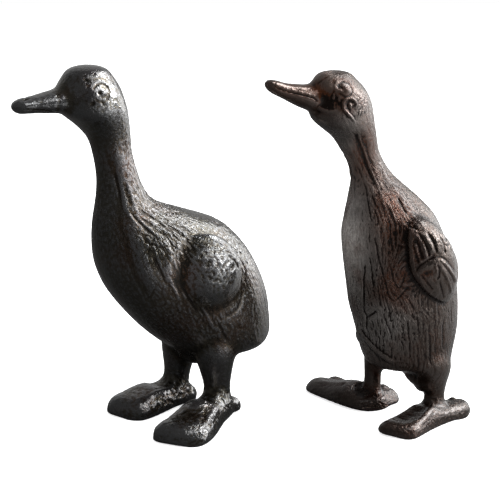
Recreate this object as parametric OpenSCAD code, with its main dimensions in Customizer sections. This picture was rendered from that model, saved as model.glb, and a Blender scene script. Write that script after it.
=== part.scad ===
// A pair of cast iron ducklings, a stout one and a slender upright one.
// Each bird is cast hollow as a left and a right half. A dowel in the head lines the halves up,
// and two screws from the right flank pull them together.
// Millimetres, +Z up. Both birds stand on Z = 0 and face -X, turned a little towards -Y.
// Within a bird, ahead is -X, and its left side, where the wing shows, is -Y.

/* [Casting] */
// Thickness of the iron round the hollow of the body
wall = 6; // [4:0.5:9]
// Straight steps round one section of a body
ring_steps = 28; // [20:4:40]
// Rings from one named section to the next
rings_per_section = 2; // [2:1:4]

/* [Fasteners] */
// Diameter of the screws that hold the halves together
screw_d = 5; // [4:0.5:6]
// Diameter of a screw's round head
screw_head_d = 9; // [8:0.5:12]
// Height of a screw's head
screw_head_h = 3.5; // [2.5:0.5:5]
// Width of the slot in a screw's head
screw_slot_w = 1.2; // [0.8:0.2:2]
// Depth of the slot in a screw's head
screw_slot_depth = 1.5; // [1:0.25:2]
// Depth of the top of a screw's head below the skin
screw_head_sink = 2; // [1:0.5:4]
// Length of a screw's thread in the left half
screw_grip = 12; // [8:1:16]
// Room past the end of a screw or dowel in its blind hole
blind_room = 2; // [1:0.5:3]
// Gap round a screw and its head in the right half
screw_clearance = 0.25; // [0.1:0.05:0.5]
// Gap round a screw in its tapped hole
thread_clearance = 0.05; // [0.02:0.01:0.1]
// Iron round a screw hole inside the hollow
boss_wall = 3; // [2:0.5:5]
// Diameter of the dowel in the head
dowel_d = 5; // [3:0.5:7]
// Length of the dowel, half of it in each half of the bird
dowel_length = 16; // [10:1:20]
// Gap round the dowel in its holes
dowel_clearance = 0.05; // [0.02:0.01:0.1]

/* [Stout duckling] */
// Turn of the bird from facing -X towards -Y
stout_turn = 30; // [0:1:60]
// Place on the ground of the point between its ankles
stout_place = [-31.75, 10.25]; // [-100:0.05:100]
// Depth of the round of the belly below the lowest section
stout_belly_round = 4; // [3:0.5:10]
// Height of the round of the crown above the highest section
stout_crown_round = 5; // [3:0.5:10]

/* [Stout body sections: rise from the one below, reach ahead of the ankles, depth, width] */
// Under the tail, its rise counted from the ground
stout_vent = [36, 12, 54, 45]; // [1:0.5:120]
// Thighs and the tip of the tail
stout_thigh = [5.5, 20, 65, 51]; // [1:0.5:120]
// Belly
stout_belly = [9, 30.5, 75, 56]; // [1:0.5:120]
// Lower flank
stout_flank = [12, 41.5, 84.5, 61]; // [1:0.5:120]
// Waist
stout_waist = [13, 51, 89.5, 63]; // [1:0.5:120]
// Fullest part of the breast
stout_breast = [13, 56.5, 88, 62]; // [1:0.5:120]
// Back
stout_back = [11, 58, 80.5, 55]; // [1:0.5:120]
// Shoulders
stout_shoulder = [8, 58, 70, 47]; // [1:0.5:120]
// Slope of the neck
stout_neck_slope = [6, 57.5, 53.5, 39]; // [1:0.5:120]
// Root of the neck
stout_neck_root = [7, 56, 33, 31]; // [1:0.5:120]
// Lower neck
stout_neck_low = [8, 55, 25, 25.5]; // [1:0.5:120]
// Middle of the neck
stout_neck_mid = [9, 55, 21.5, 22.5]; // [1:0.5:120]
// Upper neck
stout_neck_high = [11, 57, 20.5, 21.5]; // [1:0.5:120]
// Throat
stout_throat = [8, 59.5, 22.5, 24]; // [1:0.5:120]
// Chin
stout_chin = [8, 67, 29, 30.5]; // [1:0.5:120]
// Cheeks
stout_cheek = [6, 74.5, 35.5, 36]; // [1:0.5:120]
// Eyes
stout_eye_line = [7, 75.5, 34.5, 35.5]; // [1:0.5:120]
// Brow
stout_brow = [6, 75, 31.5, 33]; // [1:0.5:120]
// Crown
stout_crown = [5, 71.5, 24.5, 26]; // [1:0.5:120]

/* [Stout bill, eyes and wings] */
// Length of the bill from the front of the cheeks to its tip
stout_bill_length = 26; // [15:0.5:45]
// Height of the middle of the bill above the cheek section
stout_bill_rise = 6; // [-12:0.5:12]
// Tilt of the bill above level
stout_bill_tilt = -4; // [-20:1:30]
// Width and height of the bill at its root
stout_bill_root = [20, 12.5]; // [4:0.5:30]
// Width and height of the bill at its tip
stout_bill_tip = [13, 8]; // [3:0.5:30]
// Diameter of an eyeball
stout_eye_d = 8; // [5:0.5:12]
// How far an eyeball stands out of the head
stout_eye_proud = 1.5; // [0.5:0.25:3]
// Place of the eyes behind the front of the eye section and above it
stout_eye_place = [13.5, 3]; // [0:0.5:24]
// Length and width of a wing
stout_wing = [46, 36]; // [20:1:70]
// How far a wing stands out of the flank
stout_wing_proud = 6; // [2:0.5:12]
// Place of the middle of a wing ahead of the ankles and above the waist section
stout_wing_place = [4, 9]; // [-30:0.5:30]
// Lean of a wing from upright, its foot backwards
stout_wing_lean = 15; // [0:1:60]

/* [Stout legs and feet] */
// Diameter of a leg at the ankle
stout_ankle_d = 14; // [8:0.5:20]
// Height of the thigh joints above the lowest section of the body
stout_thigh_rise = 5; // [0:0.5:12]
// Diameter of a leg at its thigh joint
stout_thigh_d = 26; // [12:0.5:36]
// Thickness of the toes, and the height of the instep
stout_foot_height = [10, 16]; // [4:0.5:24]
// Width of a foot at the ankle
stout_instep_width = 18; // [8:0.5:30]
// Width of the web between the toes
stout_web_width = 30; // [18:0.5:50]
// Length, width and height of a hind toe
stout_hind_toe = [14.5, 11, 10]; // [4:0.5:24]
// Place of the left ankle ahead of and beside the point between the ankles
stout_left_ankle = [-5.5, 16.5]; // [-40:0.1:40]
// Place of the left thigh joint, measured like the ankle
stout_left_thigh = [-4.5, 14]; // [-40:0.1:40]
// Turn of the left toes outwards, and of the left hind toe
stout_left_splay = [35, -16]; // [-80:1:80]
// Length from the left ankle to the toes
stout_left_toes = 51; // [25:0.5:60]
// Place of the right ankle ahead of and beside the point between the ankles
stout_right_ankle = [4.5, 14.5]; // [-40:0.1:40]
// Place of the right thigh joint, measured like the ankle
stout_right_thigh = [-1, 13]; // [-40:0.1:40]
// Turn of the right toes outwards, and of the right hind toe
stout_right_splay = [-11, 0]; // [-80:1:80]
// Length from the right ankle to the toes
stout_right_toes = 40.5; // [25:0.5:60]

/* [Stout screws] */
// Distance of the upper screw behind the front of the breast section
stout_upper_screw_inset = 28; // [20:0.5:40]
// Distance of the lower screw ahead of the back of the flank section
stout_lower_screw_inset = 24; // [20:0.5:40]

/* [Upright duckling] */
// Turn of the bird from facing -X towards -Y
upright_turn = 20; // [0:1:60]
// Place on the ground of the point between its ankles
upright_place = [83.35, 5.85]; // [-100:0.05:100]
// Depth of the round of the belly below the lowest section
upright_belly_round = 4; // [3:0.5:10]
// Height of the round of the crown above the highest section
upright_crown_round = 4; // [3:0.5:10]

/* [Upright body sections: rise from the one below, reach ahead of the ankles, depth, width] */
// Under the tail, its rise counted from the ground
upright_vent = [31, 22, 47.5, 49]; // [1:0.5:120]
// Thighs
upright_thigh = [7, 24.5, 50.5, 54]; // [1:0.5:120]
// Belly
upright_belly = [12, 27.5, 55.5, 57.5]; // [1:0.5:120]
// Lower flank
upright_flank = [13, 31.5, 59.5, 59.5]; // [1:0.5:120]
// Waist
upright_waist = [14, 33.5, 60, 60]; // [1:0.5:120]
// Fullest part of the breast
upright_breast = [14, 35.5, 58.5, 59.5]; // [1:0.5:120]
// Back
upright_back = [12, 36.5, 54, 55]; // [1:0.5:120]
// Shoulders
upright_shoulder = [9, 35, 48, 50]; // [1:0.5:120]
// Slope of the neck
upright_neck_slope = [8, 34, 39.5, 41]; // [1:0.5:120]
// Root of the neck
upright_neck_root = [7, 33, 30.5, 33]; // [1:0.5:120]
// Lower neck
upright_neck_low = [7, 33, 22.5, 24]; // [1:0.5:120]
// Middle of the neck
upright_neck_mid = [8, 35.5, 19, 20.5]; // [1:0.5:120]
// Upper neck
upright_neck_high = [7, 40, 20.5, 21.5]; // [1:0.5:120]
// Throat
upright_throat = [6, 44, 23.5, 24.5]; // [1:0.5:120]
// Chin
upright_chin = [6, 51.5, 29.5, 31]; // [1:0.5:120]
// Cheeks
upright_cheek = [6, 57, 34, 33.5]; // [1:0.5:120]
// Eyes
upright_eye_line = [7, 55.5, 31, 32.5]; // [1:0.5:120]
// Brow
upright_brow = [7, 57, 28.5, 30]; // [1:0.5:120]
// Crown
upright_crown = [4.5, 55, 22, 21]; // [1:0.5:120]

/* [Upright bill, eyes and wings] */
// Length of the bill from the front of the cheeks to its tip
upright_bill_length = 26; // [15:0.5:45]
// Height of the middle of the bill above the cheek section
upright_bill_rise = 9; // [-12:0.5:12]
// Tilt of the bill above level
upright_bill_tilt = 16; // [-20:1:30]
// Width and height of the bill at its root
upright_bill_root = [18, 13.5]; // [4:0.5:30]
// Width and height of the bill at its tip
upright_bill_tip = [12, 7.5]; // [3:0.5:30]
// Diameter of an eyeball
upright_eye_d = 8; // [5:0.5:12]
// How far an eyeball stands out of the head
upright_eye_proud = 1.5; // [0.5:0.25:3]
// Place of the eyes behind the front of the eye section and above it
upright_eye_place = [11, 6]; // [0:0.5:24]
// Length and width of a wing
upright_wing = [52, 26]; // [20:1:70]
// How far a wing stands out of the flank
upright_wing_proud = 6; // [2:0.5:12]
// Place of the middle of a wing ahead of the ankles and above the waist section
upright_wing_place = [1, 14]; // [-30:0.5:30]
// Lean of a wing from upright, its foot backwards
upright_wing_lean = 18; // [0:1:60]

/* [Upright legs and feet] */
// Diameter of a leg at the ankle
upright_ankle_d = 10; // [8:0.5:20]
// Height of the thigh joints above the lowest section of the body
upright_thigh_rise = 2; // [0:0.5:12]
// Diameter of a leg at its thigh joint
upright_thigh_d = 29; // [12:0.5:36]
// Thickness of the toes, and the height of the instep
upright_foot_height = [6.5, 7.5]; // [4:0.5:24]
// Width of a foot at the ankle
upright_instep_width = 24; // [8:0.5:30]
// Width of the web between the toes
upright_web_width = 25; // [18:0.5:50]
// Length, width and height of a hind toe
upright_hind_toe = [18.5, 15.5, 8]; // [4:0.5:24]
// Place of the left ankle ahead of and beside the point between the ankles
upright_left_ankle = [-12.5, 15.5]; // [-40:0.1:40]
// Place of the left thigh joint, measured like the ankle
upright_left_thigh = [-5, 14]; // [-40:0.1:40]
// Turn of the left toes outwards, and of the left hind toe
upright_left_splay = [28, 14]; // [-80:1:80]
// Length from the left ankle to the toes
upright_left_toes = 40.5; // [25:0.5:60]
// Place of the right ankle ahead of and beside the point between the ankles
upright_right_ankle = [14, 13.5]; // [-40:0.1:40]
// Place of the right thigh joint, measured like the ankle
upright_right_thigh = [1, 13]; // [-40:0.1:40]
// Turn of the right toes outwards, and of the right hind toe
upright_right_splay = [70, 12]; // [-80:1:80]
// Length from the right ankle to the toes
upright_right_toes = 42; // [25:0.5:60]

/* [Upright screws] */
// Distance of the upper screw behind the front of the back section
upright_upper_screw_inset = 20; // [16:0.5:30]
// Distance of the lower screw behind the front of the belly section
upright_lower_screw_inset = 28; // [16:0.5:40]

/* [Hidden] */
$fn = 48;
left = -1;
right = 1;
iron = "dimgray";
steel = "silver";

// Rows of rise, reach, depth and width as sections of height, front, back and half width
function height_of(rows, i) = i < 0 ? 0 : rows[i][0] + height_of(rows, i - 1);
function sections(rows) = [
    for (i = [0:len(rows) - 1])
        [height_of(rows, i), -rows[i][1], rows[i][2] - rows[i][1], rows[i][3] / 2]
];

// Smooth curve through sections, at a place counted in sections from the lowest
function near(rows, i) = rows[max(0, min(len(rows) - 1, i))];
function slope(rows, i) =
    let (below = near(rows, i - 1), above = near(rows, i + 1))
    (above - below) / (above[0] - below[0]);
function curve(rows, place) =
    let (
        i = min(floor(place), len(rows) - 2),
        t = place - i,
        gap = rows[i + 1][0] - rows[i][0],
        start = rows[i] * (1 + 2 * t) + slope(rows, i) * gap * t,
        end = rows[i + 1] * (3 - 2 * t) - slope(rows, i + 1) * gap * (1 - t)
    )
    start * pow(1 - t, 2) + end * pow(t, 2);

// A section drawn in to a share of its size, at another height
function drawn_in(s, share, rise) =
    let (middle = (s[1] + s[2]) / 2, half = share * (s[2] - s[1]) / 2)
    [s[0] + rise, middle - half, middle + half, s[3] * share];

// Angles of the rings on a round end, from its rim to its tip
end_angles = [20, 38, 55, 72, 88];

// All the sections of a body, from its round belly to its round crown
function skin(rows, belly_round, crown_round) =
    let (last = len(rows) - 1, tips = len(end_angles) - 1)
    concat(
        [for (i = [tips:-1:0])
            drawn_in(rows[0], cos(end_angles[i]), -belly_round * sin(end_angles[i]))],
        [for (i = [0:rings_per_section * last]) curve(rows, i / rings_per_section)],
        [for (a = end_angles) drawn_in(rows[last], cos(a), crown_round * sin(a))]
    );

// Half the width of a body at a point on its middle plane
function column(rows, i) = [for (s = rows) [s[0], s[i]]];
function flank(rows, x, z) =
    let (
        front = lookup(z, column(rows, 1)),
        back = lookup(z, column(rows, 2)),
        off_middle = (2 * x - front - back) / (back - front)
    )
    lookup(z, column(rows, 3)) * sqrt(max(0, 1 - pow(off_middle, 2)));

// Ring of points round a section
function ring(s, steps) = [
    for (i = [0:steps - 1])
        let (a = 360 * i / steps)
        [(s[1] + s[2]) / 2 - cos(a) * (s[2] - s[1]) / 2, -s[3] * sin(a), s[0]]
];

// Closed solid through rings that all have as many points
module loft(rings) {
    n = len(rings[0]);
    last = len(rings) - 1;
    sides = [
        for (j = [0:last - 1], i = [0:n - 1])
            let (a = j * n + i, b = j * n + (i + 1) % n)
            each [[a, b + n, b], [a, a + n, b + n]]
    ];
    bottom = [for (i = [0:n - 1]) i];
    top = [for (i = [n - 1:-1:0]) last * n + i];
    polyhedron([for (r = rings) each r], concat(sides, [bottom, top]));
}

module body(rows) loft([for (s = rows) ring(s, ring_steps)]);

// Room inside a body between two heights, a wall away from the skin on every side
function hollow_section(rows, z) =
    let (levels = [z - wall, z, z + wall])
    [
        z,
        max([for (h = levels) lookup(h, column(rows, 1))]) + wall,
        min([for (h = levels) lookup(h, column(rows, 2))]) - wall,
        min([for (h = levels) lookup(h, column(rows, 3))]) - wall
    ];
hollow_rings = 10;
hollow_sides = 16;
module hollow(rows, low, high)
    loft([
        for (i = [0:hollow_rings])
            ring(hollow_section(rows, low + (high - low) * i / hollow_rings), hollow_sides)
    ]);

// Blend from 0 to 1 that starts and ends level
function ease(t) = t * t * (3 - 2 * t);

// Bill from the origin along +Z, with up along +X, its root sunk into the head
bill_rings = 6;
bill_sides = 16;
module bill(length, root, tip, sink) {
    nose = tip[1];
    straight = length - nose;
    function bill_ring(ahead, size) = [
        for (i = [0:bill_sides - 1])
            let (a = 360 * i / bill_sides)
            [cos(a) * size[1] / 2, sin(a) * size[0] / 2, ahead]
    ];
    loft(concat(
        [bill_ring(-sink, root)],
        [for (i = [0:bill_rings])
            let (t = i / bill_rings) bill_ring(straight * t, root + (tip - root) * ease(t))],
        [for (a = end_angles) bill_ring(straight + nose * sin(a), tip * cos(a))]
    ));
}

// Flat-soled arch along +Z, with up along +X: size is [width, height], and a fuller arch is squarer
arch_sides = 12;
arch_rings = 4;
function filled(x, fullness) = sign(x) * pow(abs(x), fullness);
function arch_ring(ahead, size, fullness) = [
    for (i = [0:arch_sides])
        let (a = 180 * i / arch_sides)
        [size[1] * filled(sin(a), fullness), -filled(cos(a), fullness) * size[0] / 2, ahead]
];
foot_fullness = 0.65;
wing_fullness = 0.9;
// How much sooner the instep of a foot falls away than its web spreads, and how far its front draws in
instep_fall = 1.5;
toe_draw = 0.25;
// Width and height along a foot
function foot_size(root, tip, t) =
    [root[0] + (tip[0] - root[0]) * ease(t), root[1] + (tip[1] - root[1]) * ease(min(1, instep_fall * t))];
module foot(length, root, tip) {
    nose = tip[1];
    straight = length - nose;
    tips = len(end_angles) - 1;
    loft(concat(
        [for (i = [tips:-1:0])
            let (a = end_angles[i])
            arch_ring(-sin(a) * root[0] / 2, root * cos(a), foot_fullness)],
        [for (i = [0:arch_rings])
            let (t = i / arch_rings) arch_ring(straight * t, foot_size(root, tip, t), foot_fullness)],
        [for (a = end_angles)
            let (front = [tip[0] * (1 - toe_draw * (1 - cos(a))), tip[1] * filled(cos(a), foot_fullness)])
            arch_ring(straight + nose * sin(a), front, foot_fullness)]
    ));
}

// Leg from the sole of an ankle at the origin up to a round thigh joint, to is its place there,
// and the thigh leans inwards along Y above it
leg_rings = 8;
leg_sides = 16;
function leg_ring(middle, r, z) = [
    for (i = [0:leg_sides - 1])
        let (a = 360 * i / leg_sides)
        [middle[0] + r * cos(a), middle[1] + r * sin(a), z]
];
module leg(ankle_d, thigh_d, to, height, inwards)
    loft(concat(
        [for (j = [0:leg_rings])
            let (t = j / leg_rings)
            leg_ring(to * pow(t, 2), ankle_d / 2 + (thigh_d - ankle_d) / 2 * ease(pow(t, 2)), height * t)],
        [for (a = end_angles)
            let (r = cos(a) * thigh_d / 2, middle = to + [0, inwards * (thigh_d / 2 - r)])
            leg_ring(middle, r, height + sin(a) * thigh_d)]
    ));

// Leg of one side, with its ankle and thigh joint at places ahead and beside
module set_leg(side, ankle, thigh, ankle_d, thigh_d, height)
    translate([-ankle[0], side * ankle[1], 0])
        leg(ankle_d, thigh_d, [ankle[0] - thigh[0], side * (thigh[1] - ankle[1])], height, -side);

// Webbed foot and hind toe of one side, with widths at the ankle and the web, and heights of the
// toes and the instep
module set_foot(side, ankle, splay, toes, widths, heights, hind_toe)
    translate([-ankle[0], side * ankle[1], 0]) {
        rotate([0, 0, -side * splay[0]]) rotate([0, -90, 0])
            foot(toes, [widths[0], heights[1]], [widths[1], heights[0]]);
        rotate([0, 0, side * splay[1]]) rotate([0, 0, 180]) rotate([0, -90, 0])
            foot(hind_toe[0], [widths[0], hind_toe[2]], [hind_toe[1], hind_toe[2]]);
    }

// Swelling along a wing from its shoulder to its tip, as a share of its full size
wing_swell = 0.6;
wing_rings = 12;
wing_blunt = 0.02;
function wing_share(t) = pow(sin(180 * t), wing_swell);
module wing(size, proud, sink)
    rotate(180, [1, -1, 0])
        loft([
            for (i = [0:wing_rings])
                let (t = wing_blunt + (1 - 2 * wing_blunt) * i / wing_rings, share = wing_share(t))
                arch_ring(size[0] * (t - 0.5), [size[1] * share, (sink + proud) * share], wing_fullness)
        ]);

// Wing and eye of the left side, mirrored for the right side
module on_side(side) {
    if (side == right)
        mirror([0, 1, 0]) children();
    else
        children();
}
module set_wing(rows, size, proud, x, z, lean)
    translate([x, wall - flank(rows, x, z), z]) rotate([0, -lean, 0]) wing(size, proud, wall);
module set_eye(rows, eye_d, proud, x, z)
    translate([x, eye_d / 2 - proud - flank(rows, x, z), z]) sphere(d = eye_d);

// Screw and dowel places are [x, z] on the middle plane; across is the +Y axis
module across(place, start, end, d)
    translate([place[0], start, place[1]]) rotate([-90, 0, 0]) cylinder(d = d, h = end - start);
function seat(rows, place) = flank(rows, place[0], place[1]) - screw_head_sink - screw_head_h;
boss_angles = [0:45:315];
function boss_end(rows, place, d) =
    min([for (a = boss_angles) flank(rows, place[0] + cos(a) * d / 2, place[1] + sin(a) * d / 2)]) - wall / 2;

module tie_screw(rows, place) {
    head = seat(rows, place);
    top = head + screw_head_h;
    difference() {
        union() {
            across(place, -screw_grip, head, screw_d);
            across(place, head, top, screw_head_d);
        }
        translate([place[0] - screw_head_d, top - screw_slot_depth, place[1] - screw_slot_w / 2])
            cube([2 * screw_head_d, 2 * screw_slot_depth, screw_slot_w]);
    }
}
module screw_bosses(side, rows, places) {
    d = (side == left ? screw_d : screw_head_d + 2 * screw_clearance) + 2 * boss_wall;
    for (place = places) {
        end = boss_end(rows, place, d);
        across(place, side == left ? -end : -wall, side == left ? wall : end, d);
    }
}
module screw_holes(side, rows, places)
    for (place = places)
        if (side == left) {
            across(place, -screw_grip - blind_room, wall, screw_d + 2 * thread_clearance);
        } else {
            across(place, -wall, seat(rows, place) + wall, screw_d + 2 * screw_clearance);
            across(place, seat(rows, place), bird_span, screw_head_d + 2 * screw_clearance);
        }
module dowel(place) across(place, -dowel_length / 2, dowel_length / 2, dowel_d);
module dowel_hole(place) {
    reach = dowel_length / 2 + blind_room;
    across(place, -reach, reach, dowel_d + 2 * dowel_clearance);
}

// Everything on one side of the middle plane
module half_space(side)
    translate([-bird_span, side == left ? -bird_span : 0, -bird_span])
        cube([2 * bird_span, bird_span, 2 * bird_span]);

// Half casting: its outside as children, less its hollow and holes, with its bosses
module half_casting(side, rows, low, high, screws, dowel_place)
    intersection() {
        difference() {
            union() {
                difference() {
                    children();
                    hollow(rows, low, high);
                }
                screw_bosses(side, rows, screws);
            }
            screw_holes(side, rows, screws);
            dowel_hole(dowel_place);
        }
        half_space(side);
    }

module stand(place, turn) translate([place[0], place[1], 0]) rotate([0, 0, turn]) children();

// Stout duckling
stout_rows = [
    stout_vent, stout_thigh, stout_belly, stout_flank, stout_waist, stout_breast, stout_back,
    stout_shoulder, stout_neck_slope, stout_neck_root, stout_neck_low, stout_neck_mid,
    stout_neck_high, stout_throat, stout_chin, stout_cheek, stout_eye_line, stout_brow, stout_crown
];
stout_sections = sections(stout_rows);
stout_skin = skin(stout_sections, stout_belly_round, stout_crown_round);
stout_vent_section = stout_sections[0];
stout_belly_section = stout_sections[2];
stout_flank_section = stout_sections[3];
stout_waist_section = stout_sections[4];
stout_breast_section = stout_sections[5];
stout_back_section = stout_sections[6];
stout_cheek_section = stout_sections[15];
stout_eye_section = stout_sections[16];
stout_crown_section = stout_sections[18];
stout_screws = [
    [stout_breast_section[1] + stout_upper_screw_inset, stout_breast_section[0]],
    [stout_flank_section[2] - stout_lower_screw_inset, stout_flank_section[0]]
];
stout_dowel_place = [(stout_cheek_section[1] + stout_cheek_section[2]) / 2, stout_cheek_section[0]];

function stout_ankle(side) = side == left ? stout_left_ankle : stout_right_ankle;

module stout_outside(side) {
    body(stout_skin);
    translate([stout_cheek_section[1], 0, stout_cheek_section[0] + stout_bill_rise])
        rotate([0, stout_bill_tilt - 90, 0])
            bill(stout_bill_length, stout_bill_root, stout_bill_tip, 2 * wall);
    on_side(side) {
        set_eye(stout_skin, stout_eye_d, stout_eye_proud,
                stout_eye_section[1] + stout_eye_place[0], stout_eye_section[0] + stout_eye_place[1]);
        set_wing(stout_skin, stout_wing, stout_wing_proud,
                 -stout_wing_place[0], stout_waist_section[0] + stout_wing_place[1], stout_wing_lean);
    }
    set_leg(side, stout_ankle(side), side == left ? stout_left_thigh : stout_right_thigh,
            stout_ankle_d, stout_thigh_d, stout_vent_section[0] + stout_thigh_rise);
}
module stout_foot(side)
    set_foot(side, stout_ankle(side), side == left ? stout_left_splay : stout_right_splay,
             side == left ? stout_left_toes : stout_right_toes,
             [stout_instep_width, stout_web_width], stout_foot_height, stout_hind_toe);
module stout_half(side)
    stand(stout_place, stout_turn) {
        half_casting(side, stout_skin, stout_belly_section[0], stout_back_section[0],
                     stout_screws, stout_dowel_place)
            stout_outside(side);
        stout_foot(side);
    }

module stout_left_half() color(iron) stout_half(left);
module stout_right_half() color(iron) stout_half(right);
module stout_head_dowel() color(steel) stand(stout_place, stout_turn) dowel(stout_dowel_place);
module stout_upper_screw()
    color(steel) stand(stout_place, stout_turn) tie_screw(stout_skin, stout_screws[0]);
module stout_lower_screw()
    color(steel) stand(stout_place, stout_turn) tie_screw(stout_skin, stout_screws[1]);

// Upright duckling
upright_rows = [
    upright_vent, upright_thigh, upright_belly, upright_flank, upright_waist, upright_breast,
    upright_back, upright_shoulder, upright_neck_slope, upright_neck_root, upright_neck_low,
    upright_neck_mid, upright_neck_high, upright_throat, upright_chin, upright_cheek,
    upright_eye_line, upright_brow, upright_crown
];
upright_sections = sections(upright_rows);
upright_skin = skin(upright_sections, upright_belly_round, upright_crown_round);
upright_vent_section = upright_sections[0];
upright_belly_section = upright_sections[2];
upright_waist_section = upright_sections[4];
upright_back_section = upright_sections[6];
upright_shoulder_section = upright_sections[7];
upright_cheek_section = upright_sections[15];
upright_eye_section = upright_sections[16];
upright_crown_section = upright_sections[18];
upright_screws = [
    [upright_back_section[1] + upright_upper_screw_inset, upright_back_section[0]],
    [upright_belly_section[1] + upright_lower_screw_inset, upright_belly_section[0]]
];
upright_dowel_place = [(upright_cheek_section[1] + upright_cheek_section[2]) / 2, upright_cheek_section[0]];

function upright_ankle(side) = side == left ? upright_left_ankle : upright_right_ankle;

module upright_outside(side) {
    body(upright_skin);
    translate([upright_cheek_section[1], 0, upright_cheek_section[0] + upright_bill_rise])
        rotate([0, upright_bill_tilt - 90, 0])
            bill(upright_bill_length, upright_bill_root, upright_bill_tip, 2 * wall);
    on_side(side) {
        set_eye(upright_skin, upright_eye_d, upright_eye_proud,
                upright_eye_section[1] + upright_eye_place[0], upright_eye_section[0] + upright_eye_place[1]);
        set_wing(upright_skin, upright_wing, upright_wing_proud,
                 -upright_wing_place[0], upright_waist_section[0] + upright_wing_place[1], upright_wing_lean);
    }
    set_leg(side, upright_ankle(side), side == left ? upright_left_thigh : upright_right_thigh,
            upright_ankle_d, upright_thigh_d, upright_vent_section[0] + upright_thigh_rise);
}
module upright_foot(side)
    set_foot(side, upright_ankle(side), side == left ? upright_left_splay : upright_right_splay,
             side == left ? upright_left_toes : upright_right_toes,
             [upright_instep_width, upright_web_width], upright_foot_height, upright_hind_toe);
module upright_half(side)
    stand(upright_place, upright_turn) {
        half_casting(side, upright_skin, upright_belly_section[0], upright_shoulder_section[0],
                     upright_screws, upright_dowel_place)
            upright_outside(side);
        upright_foot(side);
    }

module upright_left_half() color(iron) upright_half(left);
module upright_right_half() color(iron) upright_half(right);
module upright_head_dowel() color(steel) stand(upright_place, upright_turn) dowel(upright_dowel_place);
module upright_upper_screw()
    color(steel) stand(upright_place, upright_turn) tie_screw(upright_skin, upright_screws[0]);
module upright_lower_screw()
    color(steel) stand(upright_place, upright_turn) tie_screw(upright_skin, upright_screws[1]);

// A length that is larger than either bird
bird_span = 2 * max(stout_crown_section[0], upright_crown_section[0]);

stout_left_half();
stout_right_half();
stout_head_dowel();
stout_upper_screw();
stout_lower_screw();
upright_left_half();
upright_right_half();
upright_head_dowel();
upright_upper_screw();
upright_lower_screw();
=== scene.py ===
import math
import bpy
import bmesh
import numpy as np
from mathutils import Matrix, Vector
from mathutils.bvhtree import BVHTree


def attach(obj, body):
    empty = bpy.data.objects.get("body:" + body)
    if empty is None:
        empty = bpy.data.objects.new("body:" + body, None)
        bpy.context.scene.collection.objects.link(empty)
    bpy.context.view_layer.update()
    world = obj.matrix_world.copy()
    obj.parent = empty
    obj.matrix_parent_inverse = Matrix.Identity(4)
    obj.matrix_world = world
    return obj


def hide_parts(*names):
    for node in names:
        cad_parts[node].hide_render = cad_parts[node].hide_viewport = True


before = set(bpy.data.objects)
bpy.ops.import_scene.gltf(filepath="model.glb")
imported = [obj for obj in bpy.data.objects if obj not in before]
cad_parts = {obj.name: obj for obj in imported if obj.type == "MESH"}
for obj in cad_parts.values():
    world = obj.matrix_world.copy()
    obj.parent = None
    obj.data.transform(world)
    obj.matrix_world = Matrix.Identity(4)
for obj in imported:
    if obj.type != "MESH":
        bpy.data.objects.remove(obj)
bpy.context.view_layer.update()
scene = bpy.context.scene
scene.view_settings.view_transform = "Standard"
mm = 0.001


class Wire:  # a node socket that takes part in sums
    def __init__(self, graph, socket):
        self.graph = graph
        self.socket = socket

    def sum(self, operation, first, second):
        return self.graph.make("ShaderNodeMath", {"operation": operation}, {0: first, 1: second})

    def __add__(self, other):
        return self.sum("ADD", self, other)

    def __radd__(self, other):
        return self.sum("ADD", other, self)

    def __sub__(self, other):
        return self.sum("SUBTRACT", self, other)

    def __rsub__(self, other):
        return self.sum("SUBTRACT", other, self)

    def __mul__(self, other):
        return self.sum("MULTIPLY", self, other)

    def __rmul__(self, other):
        return self.sum("MULTIPLY", other, self)

    def __truediv__(self, other):
        return self.sum("DIVIDE", self, other)

    def __rtruediv__(self, other):
        return self.sum("DIVIDE", other, self)


class Graph:  # a node tree that is built one node at a time
    def __init__(self, tree):
        self.tree = tree

    def make(self, kind, settings=None, inputs=None, out=0):
        node = self.tree.nodes.new(kind)
        for name, value in (settings or {}).items():
            setattr(node, name, value)
        for name, value in (inputs or {}).items():
            if isinstance(value, Wire):
                self.tree.links.new(value.socket, node.inputs[name])
            else:
                node.inputs[name].default_value = value
        return Wire(self, node.outputs[out]) if len(node.outputs) else node

    def step(self, value, low, high):  # 0 at low, 1 at high, smooth between
        return self.make("ShaderNodeMapRange", {"interpolation_type": "SMOOTHSTEP"},
                         {"Value": value, "From Min": low, "From Max": high})

    def mix(self, factor, first, second):  # from one colour to another
        return self.make("ShaderNodeMix", {"data_type": "RGBA"}, {0: factor, 6: first, 7: second}, out=2)


def freshFinish(name):  # an empty material, and the graph that fills it
    material = bpy.data.materials.new(name)
    material.use_nodes = True
    material.node_tree.nodes.clear()
    return material, Graph(material.node_tree)


def placed(name, data):  # a new object in the scene
    item = bpy.data.objects.new(name, data)
    scene.collection.objects.link(item)
    return item


def settled(item):  # what an object's modifiers make of it, as a plain mesh
    return bpy.data.meshes.new_from_object(item.evaluated_get(bpy.context.evaluated_depsgraph_get()))


def ease(x, low, high):  # 0 at low, 1 at high, smooth between
    t = np.clip((x - low) / (high - low), 0.0, 1.0)
    return t * t * (3 - 2 * t)


def rounded(path, steps=5):  # a smooth line through given points
    path = np.asarray(path, float)
    if len(path) < 3:
        return np.array([path[0] + (path[-1] - path[0]) * t for t in np.linspace(0, 1, steps)])
    ends = np.vstack([2 * path[0] - path[1], path, 2 * path[-1] - path[-2]])
    out = []
    for a, b, c, d in zip(ends, ends[1:], ends[2:], ends[3:]):
        for t in np.arange(steps) / steps:
            out.append(0.5 * (2 * b + (c - a) * t + (2 * a - 5 * b + 4 * c - d) * t ** 2
                              + (3 * b - a - 3 * c + d) * t ** 3))
    return np.array(out + [path[-1]])


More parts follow.
